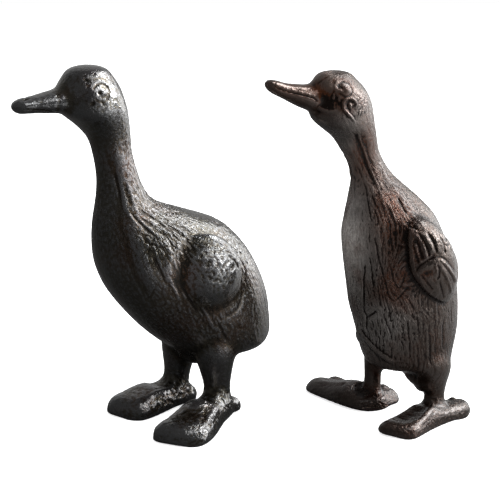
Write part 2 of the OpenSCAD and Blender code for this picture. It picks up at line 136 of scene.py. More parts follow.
def nearest(spots, line):  # each spot's gap to a line, the point there, and which leg and share of the line it is
    gap = np.full(len(spots), 1e9)
    base = np.zeros(spots.shape)
    leg = np.zeros(len(spots), int)
    share = np.zeros(len(spots))
    for k, (a, b) in enumerate(zip(line, line[1:])):
        way = b - a
        t = np.clip((spots - a) @ way / max(way @ way, 1e-9), 0, 1)
        away = np.linalg.norm(spots - a - t[:, None] * way, axis=1)
        closer = away < gap
        gap[closer], leg[closer], share[closer] = away[closer], k, t[closer]
        base[closer] = (a + t[:, None] * way)[closer]
    return gap, base, leg, share


def inside(path, x, y):  # which points lie within a closed line
    odd = np.zeros(len(x), bool)
    for (x0, y0), (x1, y1) in zip(path, np.roll(path, -1, axis=0)):
        if y0 != y1:
            odd ^= ((y0 > y) != (y1 > y)) & (x < x0 + (x1 - x0) * (y - y0) / (y1 - y0))
    return odd


headFrom = 150  # mm above the ground, on both birds


class Skin:  # the outside of one bird in its own frame: ahead, left, up, in millimetres
    def __init__(self, bird):
        self.bird = bird
        turn = math.radians(bird["turn"])
        self.ahead = np.array([-math.cos(turn), -math.sin(turn), 0.0])
        self.left = np.array([math.sin(turn), -math.cos(turn), 0.0])
        self.axes = np.array([self.ahead, self.left, [0, 0, 1]])
        self.home = np.array([*bird["place"], 0.0])
        self.mesh = wholeCasting(bird)
        self.points = self.toBird(self.read(self.mesh.vertices, "co", 3))
        self.pairs = self.read(self.mesh.edges, "vertices", 2, int)
        self.faces = self.read(self.mesh.loops, "vertex_index", 1, int).reshape(-1, 4)
        self.shares = np.bincount(self.pairs.ravel(), minlength=len(self.points))
        self.refresh()

    def read(self, items, name, width, kind=float):
        flat = np.empty(len(items) * width, kind)
        items.foreach_get(name, flat)
        return flat.reshape(-1, width)

    def toBird(self, points):
        return (points / mm - self.home) @ self.axes.T

    def toWorld(self, points):
        return (points @ self.axes + self.home) * mm

    def refresh(self):
        self.mesh.vertices.foreach_set("co", self.toWorld(self.points).ravel())
        self.mesh.update()
        self.normals = self.read(self.mesh.vertex_normals, "vector", 3) @ self.axes.T
        self.tree = BVHTree.FromPolygons(self.points.tolist(), self.faces.tolist())

    def spread(self, values, rounds, rate=0.6):  # each point drifts towards its neighbours' mean
        i, j = self.pairs.T
        values = values.reshape(len(self.points), -1).copy()
        for _ in range(rounds):
            for k in range(values.shape[1]):
                v = values[:, k]
                mean = np.bincount(i, v[j], len(v)) + np.bincount(j, v[i], len(v))
                values[:, k] += rate * (mean / self.shares - v)
        return values

    def soften(self, rounds, keep, share):  # smooths facets, and gives back the girth that is lost
        moved = self.spread(self.points, rounds) - self.points
        lost = self.spread((moved * self.normals).sum(1), keep)
        self.points += share[:, None] * (moved - lost * self.normals)
        self.refresh()

    def lift(self, amount):
        self.points += amount[:, None] * self.normals
        self.refresh()

    def ground(self):  # nothing below the soles
        self.points[:, 2] = np.maximum(self.points[:, 2], 0)
        self.refresh()

    def onSide(self, ahead, up, hand):  # the skin seen from the side
        hit = self.tree.ray_cast(Vector((ahead, 99 * hand, up)), Vector((0, -hand, 0)))[0]
        return np.array(hit) if hit else None

    def onTop(self, ahead, left, high):  # the skin seen from above
        hit = self.tree.ray_cast(Vector((ahead, left, high)), Vector((0, 0, -1)))[0]
        return np.array(hit) if hit else None

    def sideLine(self, path, hand):
        found = [self.onSide(a, z, hand) for a, z in rounded(path)]
        return [p for p in found if p is not None]

    def topLine(self, path, high):
        found = [self.onTop(a, s, high) for a, s in rounded(path)]
        return [p for p in found if p is not None]

    def strokeLift(self, line, width, depth, taper):  # a groove or ridge along a line of points
        lift = np.zeros(len(self.points))
        if len(line) < 2:
            return lift
        line = np.asarray(line)
        low, high = line.min(0) - width, line.max(0) + width
        near = np.where(np.all((self.points > low) & (self.points < high), axis=1))[0]
        gap, _, leg, share = nearest(self.points[near], line)
        along = (leg + share) / (len(line) - 1)
        fade = ease(along, 0, taper) * ease(1 - along, 0, taper)
        lift[near] = depth * fade * np.clip(1 - (gap / width) ** 2, 0, 1) ** 2
        return lift

    def padLift(self, centre, size, height, hand, lean=0):  # a dome or hollow, placed from the side
        a, z = centre
        spot = self.onSide(a, z, hand)
        lift = np.zeros(len(self.points))
        if spot is None:
            return lift
        c, s = math.cos(math.radians(lean)), math.sin(math.radians(lean))
        x, y = self.points[:, 0] - a, self.points[:, 2] - z
        r = ((x * c + y * s) / size[0]) ** 2 + ((y * c - x * s) / size[1]) ** 2
        sameSide = np.abs(self.points[:, 1] - spot[1]) < max(size) + 6
        return np.where(sameSide, height * np.clip(1 - r, 0, 1) ** 2, 0.0)

    def footForm(self, foot):  # presses a foot to its outline in plan, with a rounded brow and a sloping instep
        margin, highest, instepRun, soleTop = 4, 26, 22, 0.4
        whole = rounded(foot["outline"] + foot["outline"][:1], 4)
        closed = whole[:-1]
        flat = self.points[:, :2]
        within = np.all((flat > closed.min(0) - margin) & (flat < closed.max(0) + margin), axis=1)
        near = np.where(within & (self.points[:, 2] < highest))[0]
        spots, z = flat[near], self.points[near, 2]
        gap, edge, _, _ = nearest(spots, whole)
        depth = np.where(inside(closed, *spots.T), 1, -1) * np.maximum(gap, 1e-4)
        inward = (spots - edge) / depth[:, None]
        away = spots - foot["ankle"]
        reach = np.linalg.norm(away, axis=1)
        heading = closed[np.linalg.norm(closed - foot["ankle"], axis=1).argmax()] - foot["ankle"]
        front = ease(away @ heading / np.linalg.norm(heading), -4, 4)
        height = foot["heel"] + (foot["toe"] - foot["heel"]) * front
        height = height + (foot["instep"] - height) * ease(reach, foot["girth"] + instepRun * front + 4, foot["girth"])
        brow = foot["brow"]
        across = np.clip((brow - depth) / brow, 0, None)
        rise = z / height
        size = np.maximum((across ** foot["square"] + rise ** foot["square"]) ** (1 / foot["square"]), 1e-6)
        share = ease(reach, foot["girth"] + 1, foot["girth"] + 7) * ease(z, 1.9 * height, 1.3 * height)
        share = share * (depth > -margin)
        sole = z < soleTop
        newDepth = np.where(sole, np.maximum(depth, 0), brow - brow * across / size)
        newDepth = np.where(sole | (across > 0), newDepth, depth)
        newHeight = np.where(sole, z, height * rise / size)
        self.points[near, :2] += share[:, None] * inward * (newDepth - depth)[:, None]
        self.points[near, 2] += share * (newHeight - z)

    def tipRise(self, first, last, rise):  # turns up the end of a bill
        self.points[:, 2] += rise * ease(self.points[:, 0], first, last) * (self.points[:, 2] > headFrom)

    def legForm(self, middle, radius, low, high, fade):  # presses a leg round, between two heights
        away = self.points[:, :2] - middle
        reach = np.maximum(np.linalg.norm(away, axis=1), 1e-6)
        z = self.points[:, 2]
        share = ease(z, low - 4, low) * ease(z, high + fade, high) * (reach < radius + 7)
        self.points[:, :2] += (share * (radius / reach - 1))[:, None] * away

    def meld(self, spots, rounds):  # blends a leg into its foot
        share = np.zeros(len(self.points))
        for centre, radius in spots:
            gap = np.linalg.norm(self.points - centre, axis=1)
            share = np.maximum(share, ease(gap, radius, radius * 0.55))
        self.points += share[:, None] * (self.spread(self.points, rounds) - self.points)

    def panelLift(self, outline, height, sharp, soft, moat, hand):  # a raised panel, soft at its top edge
        margin, moatWidth = 6, 1.6
        whole = rounded(outline + outline[:1], 6)
        closed = whole[:-1]
        a, s, z = self.points.T
        low, high = closed.min(0) - margin, closed.max(0) + margin
        near = np.where((a > low[0]) & (a < high[0]) & (z > low[1]) & (z < high[1]) & (s * hand > margin)
                        & (self.normals[:, 1] * hand > 0.05))[0]
        spots = np.stack([a[near], z[near]], axis=1)
        gap, _, leg, _ = nearest(spots, whole)
        ways = np.diff(whole, axis=0)
        facing = (ways[:, 0] / np.linalg.norm(ways, axis=1))[leg]  # 1 where the edge faces up
        keen = ease(facing, 0.75, 0.1)
        edge = soft + (sharp - soft) * keen
        lift = np.zeros(len(self.points))
        lift[near] = np.where(inside(closed, *spots.T), height * ease(gap, 0, edge) ** 0.7,
                              -moat * keen * np.exp(-(gap / moatWidth) ** 2))
        return lift


def wholeCasting(bird):  # both halves and what is between them, as one even skin
    bm = bmesh.new()
    for part in ("left_half", "right_half", "head_dowel", "upper_screw", "lower_screw"):
        loose = bmesh.new()
        loose.from_mesh(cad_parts[f"{bird['name']}_{part}"].data)
        bmesh.ops.remove_doubles(loose, verts=loose.verts, dist=1e-6)
        merged = bpy.data.meshes.new("merged")
        loose.to_mesh(merged)
        bm.from_mesh(merged)
        loose.free()
        bpy.data.meshes.remove(merged)
    turn = math.radians(bird["turn"])
    for (ahead, left, up), radius in bird["lumps"]:  # fullness that the plain solids lack
        x = bird["place"][0] - ahead * math.cos(turn) + left * math.sin(turn)
        y = bird["place"][1] - ahead * math.sin(turn) - left * math.cos(turn)
        spot = Matrix.Translation(Vector((x, y, up)) * mm)
        bmesh.ops.create_icosphere(bm, subdivisions=4, radius=radius * mm, matrix=spot)
    mesh = bpy.data.meshes.new(bird["name"])
    bm.to_mesh(mesh)
    bm.free()
    body = placed(bird["name"], mesh)
    remesh = body.modifiers.new("even", "REMESH")
    remesh.mode = "VOXEL"
    remesh.voxel_size = bird["voxel"] * mm
    even = settled(body)
    bpy.data.objects.remove(body)
    print(bird["name"], "skin", len(even.vertices), "points")
    return even


def ring(centre, radius, first=0, last=360):  # a round line in the side view
    turns = np.radians(np.linspace(first, last, 17))
    return [(centre[0] + radius * math.cos(t), centre[1] + radius * math.sin(t)) for t in turns]


stout = {
    "name": "stout", "place": (-31.75, 10.25), "turn": 30, "voxel": 0.6,
    "girth": [  # up, middle, half depth, half width
        (30, -16, 26, 21), (36, -15, 27, 22.5), (50, -7, 37.5, 28), (62, -1, 42, 30.5), (75, 6, 45, 31.5),
        (88, 12.5, 44, 31), (99, 18, 40, 27.5), (107, 23, 35, 23.5), (113, 31, 27, 19.5), (120, 39.5, 16.5, 15.5),
        (137, 44, 11, 11), (148, 47, 10, 10.5), (156, 48, 11, 12), (164, 52.5, 14.5, 15), (171, 57, 18, 18),
        (184, 59, 16, 16.5), (193, 59, 12, 12.5)],
    "sideStrokes": [  # name, points ahead and up, width, height
        ("eyeMoat", ring((59.1, 181.2), 4.4), 0.9, -0.3),
        ("eyeRim", ring((59.1, 181.2), 5.8, -20, 200), 1.3, 0.1),
        ("billStep", [(74, 186), (77.6, 181), (78.8, 175.3), (78, 170)], 2.2, -0.3),
        ("mouthLine", [(99, 174.6), (91, 173.8), (84, 173), (80, 172)], 0.9, -0.35),
        ("nostril", [(95, 178.6), (91, 179.2)], 1.2, -0.6),
        ("neckRidge", [(51, 157), (45.5, 143), (43.6, 127), (43.7, 109), (39.6, 87), (29, 73)], 6.5, 0.8),
        ("wingMoat", [(24, 72), (24.5, 82), (23, 90), (19.5, 97), (14.5, 101.5), (8, 103.5), (1, 103)], 6.5, -1.0),
        ("wingNotch", [(-1.5, 87.4), (-5.5, 89.8)], 1.8, -2.0),
        ("wingFold", [(-1, 95), (-6, 91.5), (-9, 86)], 1.5, -0.6),
        ("wingFoot", [(-14, 74), (-13.5, 67), (-8.5, 61.5), (-1, 60)], 2.2, -0.3),
    ],
    "sidePads": [  # name, place, size, height, lean
        ("pupil", (58.2, 181.6), (2.3, 2.3), 0.9, 0),
        ("eyeCorner", (60.6, 181.3), (1.4, 1.3), -0.8, 0),
        ("cheekDimple", (64, 176.2), (1.8, 1.6), -0.4, 0),
        ("browNick", (65.2, 187.5), (1.8, 0.9), -0.35, 20),
        ("wingDome", (6, 83), (19, 20), 3.2, 0),
        ("wingCrown", (4, 91), (11, 8), 0.8, -15),
    ],
    "panels": [],
    "beads": [],  # path, count, radius and height of a row of beads
    "lumps": [((-0.5, 0, 34), 8.5)],  # place ahead, left and up, and radius
    "feet": [  # outline ahead and left, ankle's middle and radius, heights, width and squareness of the upper edge
        {"outline": [(-22, 14), (-16, 20.5), (-8, 26), (1, 34), (10, 44), (20, 52.5), (30, 51.5), (37, 46), (41.5, 39),
                     (42.5, 34), (39, 30), (30, 24.5), (20, 19.5), (10, 14.5), (2, 9.5), (-6, 8), (-14, 9), (-20, 11)],
         "ankle": (-2, 19), "girth": 10, "toe": 10.5, "instep": 16.5, "heel": 9, "brow": 12, "square": 3.2},
        {"outline": [(-10, -16), (-4, -9), (6, -5), (18, 0), (31, 4.5), (37.5, 2.5), (43, -4), (46.5, -11), (45.5, -17),
                     (40, -21.5), (30, -23.5), (16, -24), (5, -24), (-3, -21.5)],
         "ankle": (7, -14), "girth": 9, "toe": 10.5, "instep": 15, "heel": 9, "brow": 11, "square": 2.8},
    ],
    "legs": [],  # middle ahead and left, radius, from and to height, and how far it fades
    "melds": [((6, 22, 15), 16), ((15, -12, 15), 15), ((0, 2, 30), 12)],  # middle and radius
    "featherLines": [  # turn round the body, from up, to up, width, height
        (62, 142, 122, 1.4, -0.35), (78, 136, 118, 1.5, -0.4), (70, 122, 104, 1.5, -0.4), (90, 122, 106, 1.5, -0.4),
        (80, 110, 96, 1.5, -0.35), (62, 100, 82, 1.4, -0.3), (72, 82, 64, 1.4, -0.3), (84, 58, 44, 1.4, -0.3),
        (104, 114, 104, 1.5, -0.35), (66, 130, 112, 1.4, 0.35), (74, 118, 100, 1.5, 0.4), (85, 116, 103, 1.5, 0.4),
        (97, 112, 103, 1.5, 0.35), (66, 90, 70, 1.4, 0.3), (78, 70, 52, 1.4, 0.3), (150, 86, 48, 1.1, -0.25),
        (142, 78, 46, 1.1, -0.25), (158, 76, 46, 1.1, -0.25), (166, 88, 46, 1.1, -0.25)],
    "topStrokes": [  # name, points ahead and left, drawn from how high, width, height
        ("leftDome", [(6, 24), (14, 30), (22, 34)], 15, 7, 1.0),
        ("leftEdge", [(2, 32), (10, 40), (18, 47.5)], 15, 3, 0.8),
        ("rightEdge", [(8, -7), (20, -3), (30, 0)], 15, 3, 0.8),
    ],
    "bill": (90, 104, 0),  # from and to where its end turns up, and how much
    "bare": [(77, 12), (34, 26)],  # no feathers ahead of the bill root, nor below the thighs
    "knots": [],  # places where the feather lines part, with sizes and turns
    "plumage": (0.06, [  # the share everywhere, then place, size, and how much more or less
        ((24, 112), (18, 24), 0.8), ((12, 66), (22, 24), 0.4), ((-26, 66), (20, 34), 0.2), ((6, 82), (18, 18), -0.5),
        ((40, 148), (8, 24), 0.3)]),
    "crumple": [  # place ahead and up, size, strength, as in the patches below
        ((4, 90), (13, 11), 0.65), ((24, 116), (16, 14), 0.5), ((-16, 96), (16, 20), 0.45), ((40, 142), (7, 24), 0.35),
        ((55, 181), (10, 10), 0.32), ((64, 190), (14, 7), 0.12), ((92, 177), (12, 5), 0.3), ((10, 9), (40, 8), 0.35)],
    "stains": [((40, 140), (9, 30), 0.7), ((24, 84), (12, 20), 0.6), ((-4, 60), (22, 12), 0.5),
               ((-30, 66), (12, 20), 0.35), ((22, 12), (14, 10), 0.2)],
    # patches painted with a pale sheen and highlight: place ahead and up, size, strength
    "paintedSheen": [((3, 91), (9, 8), 0.32), ((88, 180), (14, 5), 0.12)],
    "highlightShadeGain": 5.0,  # how strongly raised spots are painted bright as highlight and hollows painted dark as shade
    "relief": {"Feather Length": 4.5, "Feather Width": 1.8, "Feather Depth": 0.6, "Groove Length": 11,
               "Groove Width": 2.0, "Groove Depth": 0.35, "Wander": 1.2, "Crumple Size": 2.4, "Crumple Depth": 1.15,
               "Grain Size": 2.2, "Grain Depth": 0.1, "Body Radius": 38, "Neck Radius": 12, "Seed": 4.0},
}
upright = {
    "name": "upright", "place": (83.35, 5.85), "turn": 20, "voxel": 0.56,
    "girth": [
        (26, -2, 23, 24), (31, -2, 24, 24.5), (50, 0, 28, 29), (63, 2, 30, 30), (77, 3.5, 30, 30), (91, 6, 29, 30),
        (103, 9.5, 27, 27.5), (112, 11, 24, 25), (120, 14, 20, 20.5), (127, 18, 15, 16.5), (134, 22, 11, 12),
        (142, 26, 9.5, 10), (149, 30, 10, 11), (155, 32, 12, 12), (161, 37, 15, 15.5), (167, 40, 17, 17),
        (181, 43, 14, 15), (190, 44, 10, 10)],
    "sideStrokes": [
        ("eyeMoat", ring((43.9, 181.5), 3.6), 0.9, -0.5),
        ("eyeRim", ring((43.9, 181.5), 5, -60, 70), 0.8, 0.2),
        ("curl", [(40.8, 172.4), (39, 172.9), (38.7, 174.9), (40.8, 176.9), (43.6, 177.1), (45.3, 175.1), (45, 171.6),
                  (42.9, 169.2), (40.4, 166.4), (38.4, 163.6)], 0.9, 0.8),
        ("curlGap", [(40.4, 174.8), (41.8, 175.5), (43.4, 174.7), (43.3, 172.4), (41.6, 170.6)], 0.8, -0.6),
        ("browStroke", [(49.3, 180), (49.6, 176.2)], 0.8, 0.55),
        ("browTick", [(47.1, 178.7), (47.4, 175.4)], 0.8, 0.4),
        ("whiskerA", [(36.2, 171), (37.9, 167.2)], 0.8, 0.4),
        ("whiskerB", [(33.8, 172.2), (35.4, 168)], 0.8, 0.35),
        ("neckCord", [(38.4, 163.6), (33.9, 154.9), (30.2, 147.7), (26.5, 138), (24.5, 131.9), (22.8, 124)], 1.0, 0.45),
        ("forehead", [(56, 183), (51, 187), (45, 188.6), (38, 187)], 0.8, -0.15),
        ("neckCrease", [(40.2, 163.6), (35.7, 155), (32, 147.7), (28.2, 138), (26.2, 131.6), (24.6, 121.2), (23, 112)],
         1.6, -0.1),
        ("mouthLine", [(83, 186.6), (77.4, 182.8), (70.8, 180.4), (64.8, 178.7), (58.9, 177), (55.8, 174.6)],
         0.9, -0.6),
        ("jawLine", [(56.5, 172.6), (54.4, 171.2), (51.3, 170), (47.6, 170.6)], 1.6, 0.45),
        ("breastFold", [(37, 145.5), (34.5, 139), (31.5, 133)], 2.6, 0.4),
        ("wingRim", [(13.2, 108.5), (13.5, 102.4), (13.4, 96.4), (12.5, 90.1), (10.7, 85.9), (6.9, 80.2), (1.4, 74.8)],
         0.8, 0.4),
        ("palm", [(12.4, 106.5), (11.6, 99.5), (10, 93.6)], 2.2, -0.6),
        ("fingerA", [(12.4, 103.8), (11.3, 98.5), (9.6, 93.2)], 0.9, 0.9),
        ("gapA", [(11.7, 106.2), (10, 99.6), (8.2, 94.9)], 1.0, -0.5),
        ("fingerB", [(11.2, 108), (9, 104), (7, 96.6)], 1.4, 0.7),
        ("gapB", [(10.2, 108.7), (7.8, 103.2), (5.4, 96.2)], 0.8, -0.5),
        ("fingerC", [(8.6, 109.6), (5.8, 104.2), (3.4, 98)], 2.4, 0.7),
        ("gapC", [(6, 109.8), (3.2, 104), (1.8, 98.5)], 0.8, -0.5),
        ("fingerD", [(2.6, 108.8), (0.4, 102), (0.2, 97.6)], 1.9, 0.4),
        ("gapD", [(-1.6, 107), (-3.6, 101.5), (-3.4, 97)], 0.9, -0.6),
        ("ringBump", ring((-6.5, 102.5), 1.6), 0.8, -0.5),
        ("lobeEdge", [(12.4, 88.4), (9.6, 92.9), (6.2, 95.3), (2.8, 97)], 0.9, -0.4),
        ("lobeBack", [(2, 97), (-3.2, 95), (-9.4, 88.2)], 0.9, -0.3),
        ("slot", [(2.2, 92.8), (0.6, 90.4), (0.5, 86.3), (1.7, 84.5)], 0.8, -0.6),
        ("slotRim", [(3.2, 93), (1.8, 90), (1.9, 86.8)], 0.8, 0.4),
        ("lobeRidgeA", [(1, 95), (-3, 92.6), (-9, 85.6), (-13.4, 79.6)], 0.9, 0.45),
        ("lobeRidgeB", [(0, 92), (-4, 86), (-8, 79), (-10, 74)], 0.9, 0.4),
        ("lobeCreaseA", [(-0.8, 93.6), (-6, 87.4), (-11, 80)], 0.8, -0.35),
        ("lobeCreaseB", [(0, 84), (-2.5, 78), (-5.2, 72.5)], 0.8, -0.35),
        ("lobeCreaseC", [(10, 88), (6, 82.6), (2, 78)], 0.9, -0.3),
        ("swirlA", [(26.6, 95.2), (24.8, 86.4), (21.6, 73.7), (18.4, 72.2), (14.9, 76.7), (12.5, 80.5)], 0.9, -0.25),
        ("swirlB", [(23.4, 96.2), (21.4, 88.3), (19.3, 80.8), (17.2, 79), (15.6, 82.6), (14.6, 88)], 0.9, -0.25),
        ("plumeA", [(28.6, 124.9), (26, 116.5), (23.2, 107)], 0.9, 0.2),
        ("plumeC", [(24, 125.2), (21.2, 117), (18.4, 107.2)], 0.9, 0.25),
        ("plumeD", [(20.5, 122.3), (18, 116), (15.4, 110.1)], 0.9, 0.25),
        ("bellyGroove", [(31.5, 92), (31, 78), (29.7, 64.1), (28.4, 59.6), (26.6, 50.1)], 1.2, -0.7),
        ("bellyBranch", [(28.2, 59), (27, 62), (25.6, 64.8)], 1.1, -0.7),
        ("bellyFold", [(28.3, 53.2), (25.8, 45.7), (20.8, 39.1), (14, 35)], 2.6, 0.9),
        ("backCut", [(14.6, 125), (13.6, 121), (11.6, 116.5)], 1.1, -0.8),
    ],
    "sidePads": [
        ("eyeSocket", (46.6, 182.8), (2.4, 2), -0.8, 0),
        ("pupil", (43.5, 181.2), (2, 2), 0.9, 0),
        ("cheekHollow", (51.4, 176), (6.5, 8), -0.9, 0),
        ("curlBead", (41.8, 173.4), (1.1, 1.1), 0.5, 0),
        ("neckHollow", (31.5, 146), (20, 6), -0.7, 68),
        ("shoulderHollow", (20.5, 107), (8, 16), -1.4, 10),
        ("lobeHollow", (6.6, 88.6), (4.5, 4), -0.7, 0),
    ],
    "panels": [  # outline ahead and up, height, width of its lower edge and of its top edge, groove beside it
        ([(13.3, 110.5), (14.1, 102.4), (14, 96.4), (13.1, 90.1), (11.3, 85.7), (7.4, 79.8), (1.7, 74.2), (-6.2, 69.1),
          (-10.5, 69.4), (-15.7, 73.5), (-19, 80), (-19.5, 88), (-17, 97), (-12, 105), (-5, 111.5), (3, 115.5),
          (9, 115.5)], 2.8, 1.8, 9, 0.3),
        ([(12.6, 87), (11.4, 90), (9, 92.4), (6, 94.6), (2.6, 96.2), (-2.9, 94), (-9.1, 87.2), (-15, 81.5),
          (-16.5, 77.5), (-14, 74), (-10.3, 70.6), (-6.2, 70), (1.7, 75), (7.4, 80.6), (10.8, 85)], 0.7, 3.2, 3.2, 0),
    ],
    "beads": [([(79, 184.9), (70.8, 181.7), (64.8, 180), (58.6, 178.2)], 11, 0.9, 0.4),
              (ring((43.9, 181.5), 5.4, 50, 170), 8, 0.8, 0.3)],
    "lumps": [((-10.8, 15.2, 16.5), 5.7), ((-10, 15, 18.8), 6.4), ((-8.6, 15, 21.8), 7.6), ((-6, 14.5, 25.5), 9.2),
              ((-2.5, 13, 28.5), 9), ((-9, 17, 8), 6), ((14.5, -16, 11), 5.4), ((16.5, -19, 8), 6),
              ((17.5, -20, 9.5), 5)],
    "feet": [
        {"outline": [(-33, 15), (-31, 20), (-25, 23.5), (-12, 27.5), (0, 33.5), (11, 41), (18, 40.5), (25, 35.5),
                     (28.5, 30.5), (28, 27), (23, 24), (14, 20), (4, 15), (-5, 8.5), (-10, 6), (-16, 5), (-23, 7),
                     (-31, 10)],
         "ankle": (-12, 15.5), "girth": 6, "toe": 7.2, "instep": 11, "heel": 8, "brow": 7, "square": 3},
        {"outline": [(-6, -19), (-4, -13), (2, -8), (9, -5), (18, -4), (25, -7), (31, -15), (36, -30), (39, -42),
                     (38, -49), (33, -53), (26, -52), (20, -46), (15, -38), (10, -30), (4, -25), (-2, -24)],
         "ankle": (13, -13.5), "girth": 6, "toe": 8, "instep": 12.5, "heel": 8, "brow": 9, "square": 2},
    ],
    "legs": [((12.5, -13.5), 4.8, 12, 18, 12)],
    "melds": [((-9, 18, 11), 12), ((16, -17, 10), 14), ((2, 4, 26), 10), ((56, 0, 177), 14)],
    "featherLines": [
        (58, 126, 98, 0.9, 0.2), (66, 124, 96, 0.9, 0.2), (73, 126, 100, 0.9, 0.2), (82, 120, 106, 0.9, 0.2),
        (40, 138, 112, 1.0, -0.25), (50, 134, 108, 1.0, -0.25), (46, 110, 84, 1.0, -0.25), (36, 100, 70, 1.0, -0.25),
        (24, 88, 64, 1.0, -0.2), (40, 90, 58, 1.0, 0.2), (52, 72, 50, 1.0, -0.2), (68, 60, 36, 1.0, -0.2),
        (79, 66, 48, 1.0, -0.2), (91, 54, 32, 1.0, -0.25), (101, 70, 56, 1.0, 0.2), (109, 60, 40, 1.0, -0.25),
        (124, 72, 52, 1.0, -0.25), (131, 56, 36, 1.0, -0.2), (146, 96, 74, 1.0, -0.25), (152, 70, 44, 1.0, -0.2),
        (168, 92, 58, 1.0, -0.2)],
    "topStrokes": [
        ("leftWeb", [(-3, 19.5), (8, 25.5), (21, 31.5)], 11, 7, -1.0),
        ("leftOuterToe", [(-9, 22), (-2, 28), (5, 33.5), (13, 38.5)], 11, 3, 1.0),
        ("leftInnerToe", [(-3, 13), (6, 17.8), (16, 23), (25, 27.8)], 11, 3, 0.4),
        ("leftWrinkleA", [(7, 19.5), (4, 24), (2, 29)], 11, 1.1, -0.2),
        ("leftWrinkleB", [(11.5, 21.5), (9, 26.5), (6.5, 31.5)], 11, 1.1, -0.2),
        ("leftWrinkleC", [(16, 23.5), (13.5, 28.5), (11, 34)], 11, 1.1, -0.2),
        ("leftWrinkleD", [(20.5, 26), (18, 30.5), (15.5, 36)], 11, 1.1, -0.2),
        ("leftKnob", [(-26, 11.5), (-22.5, 12)], 11, 3.5, 0.9),
        ("rightRidge", [(20, -16), (28, -30), (34, -45)], 11, 3, 0.7),
        ("rightWrinkleA", [(24, -14), (20, -19), (17, -24)], 11, 1.2, -0.4),
        ("rightWrinkleB", [(28, -21), (24, -25), (20, -31)], 11, 1.2, -0.4),
    ],
    "bill": (68, 90, 2.2),
    "bare": [(57, 8), (24, 20)],
    "knots": [((17.5, 86), (7, 13), 0.4)],
    "plumage": (0.4, [((34, 100), (10, 44), -0.25), ((20, 112), (12, 20), 0.5), ((18, 70), (16, 30), 0.3),
                      ((-2, 92), (17, 25), -0.2), ((46, 178), (22, 20), -0.2)]),
    "crumple": [((-6, 103), (9, 9), 1.4), ((4, 126), (13, 16), 0.9), ((28, 158), (9, 16), 0.6),
                ((34, 176), (6, 8), 1.2), ((0, 6), (40, 7), 1.0)],
    "stains": [((21, 110), (9, 18), 1.0), ((12, 99), (4, 9), 0.8), ((7, 88), (5, 4), 0.6), ((18, 84), (8, 14), 0.85),
               ((30, 146), (7, 20), 1.0), ((12, 30), (14, 14), 0.25), ((52, 178), (10, 9), 1.0),
               ((50, 187), (12, 5), 0.8), ((70, 181), (16, 7), 0.9), ((12, 8), (24, 9), 0.35),
               ((16, 34), (12, 12), 0.25)],
    # patches painted with a pale sheen
    "paintedSheen": [((43, 100), (13, 50), 1.0), ((24, 56), (12, 20), 0.42)],
    # gain of the painted highlight on raised spots and the painted shade in hollows
    "highlightShadeGain": 8.0,
    "relief": {"Feather Length": 8, "Feather Width": 1.5, "Feather Depth": 0.25, "Groove Length": 14,
               "Groove Width": 1.6, "Groove Depth": 0.42, "Wander": 2.4, "Crumple Size": 1.2, "Crumple Depth": 0.28,
               "Grain Size": 2.4, "Grain Depth": 0.08, "Body Radius": 29, "Neck Radius": 12, "Seed": 11.0},
}


def girthTurn(bird, points):  # how far round the body a point is, 0 at the breast
    up, middle, depth, width = np.array(bird["girth"]).T
    z = points[:, 2]
    return np.arctan2(points[:, 1] / np.interp(z, up, width),
                      (points[:, 0] - np.interp(z, up, middle)) / np.interp(z, up, depth))


def flowLine(skin, turn, first, last, hand):  # a line that runs the way the feathers lie
    up, middle, depth, width = np.array(skin.bird["girth"]).T
    line = []
    for z in np.linspace(first, last, 14):
        centre = Vector((np.interp(z, up, middle), 0, z))
        across = np.interp(z, up, width) * math.sin(turn) * hand
        out = Vector((np.interp(z, up, depth) * math.cos(turn), across, 0))
        hit = skin.tree.ray_cast(centre + out * 1.8, -out.normalized())[0]
        if hit:
            line.append(np.array(hit))
    return line


def modelled(skin):  # the forms that the founder's pattern maker worked by hand
    bird = skin.bird
    sideTaper, featherTaper, topTaper = 0.18, 0.35, 0.3  # shares of a stroke over which its ends run out
    pads = np.zeros(len(skin.points))
    for hand in (1, -1):
        for _, place, size, height, lean in bird["sidePads"]:
            pads += skin.padLift(place, size, height, hand, lean)
        for path, count, radius, height in bird["beads"]:
            row = rounded(path)
            for k in np.linspace(0, len(row) - 1, count).astype(int):
                pads += skin.padLift(row[k], (radius, radius), height, hand)
        for panel in bird["panels"]:
            pads += skin.panelLift(*panel, hand)
    skin.lift(pads)
    lines = np.zeros(len(skin.points))
    for hand in (1, -1):
        for _, path, width, height in bird["sideStrokes"]:
            lines += skin.strokeLift(skin.sideLine(path, hand), width, height, sideTaper)
        for turn, first, last, width, height in bird["featherLines"]:
            line = flowLine(skin, math.radians(turn), first, last, hand)
            lines += skin.strokeLift(line, width, height, featherTaper)
    for _, path, high, width, height in bird["topStrokes"]:
        lines += skin.strokeLift(skin.topLine(path, high), width, height, topTaper)
    skin.lift(lines)
    print(bird["name"], "modelled from", round(lines.min(), 2), "to", round(lines.max(), 2), "mm")


def patch(points, place, size):  # 1 at a place in the side view, fading with distance
    a, z = points[:, 0], points[:, 2]
    return np.exp(-((a - place[0]) / size[0]) ** 2 - ((z - place[1]) / size[1]) ** 2)


def spotted(spots, points):  # soft patches, each with its place, size and strength
    total = np.zeros(len(points))
    for place, size, strength in spots:
        total = np.maximum(total, strength * patch(points, place, size))
    return total


def mark(mesh, name, values):  # an attribute that the relief tree or the finish reads
    kind, field = ("FLOAT", "value") if values.ndim == 1 else ("FLOAT_VECTOR", "vector")
    layer = mesh.attributes.new(name, kind, "POINT")
    layer.data.foreach_set(field, np.ascontiguousarray(values, np.float32).ravel())


